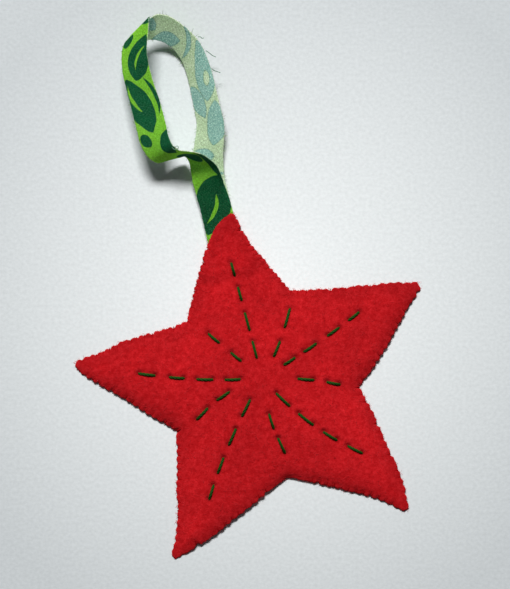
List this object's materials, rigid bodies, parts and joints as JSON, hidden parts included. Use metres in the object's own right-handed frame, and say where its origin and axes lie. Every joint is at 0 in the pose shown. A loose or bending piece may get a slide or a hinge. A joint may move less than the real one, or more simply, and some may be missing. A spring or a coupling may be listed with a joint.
{
  "type": "felt christmas ornament",
  "caption": "Stuffed felt star with rays of running stitch and whip-stitched edge, hung from a folded loop of printed cotton strip.",
  "frame": {"origin": "on the rest plane, at the back of the star, under the point that the stitched rays run to", "axes": "+Z out of the star's front face, away from what it lies on; +Y towards the top arm and the hanging loop"},
  "size_m": [0.1097, 0.1734, 0.0145],
  "materials": {
    "red_felt": "red wool-mix felt, matted and slightly fuzzy",
    "fibre_filling": "white polyester fibre",
    "green_thread": "stranded cotton embroidery thread, dark green",
    "printed_cotton": "plain-weave cotton printed in light and dark green, pale on the wrong side"
  },
  "bodies": {
    "star": {"back_felt": "red_felt", "filling": "fibre_filling", "front_felt": "red_felt", "ray_thread_1": "green_thread", "ray_thread_2": "green_thread", "ray_thread_3": "green_thread", "ray_thread_4": "green_thread", "ray_thread_5": "green_thread", "ray_thread_6": "green_thread", "ray_thread_7": "green_thread", "ray_thread_8": "green_thread", "ray_thread_9": "green_thread", "ray_thread_10": "green_thread", "hanger_tail_front": "printed_cotton", "hanger_tail_back": "printed_cotton"},
    "loop": {"hanger_loop": "printed_cotton"}
  },
  "joints": [
    {"name": "loop_swing", "type": "hinge", "parent": "star", "child": "loop", "pos_m": [-0.0145, 0.05339, 0.00197], "axis": [0.9744, 0.225, 0], "range_deg": [-100, 100]}
  ]
}
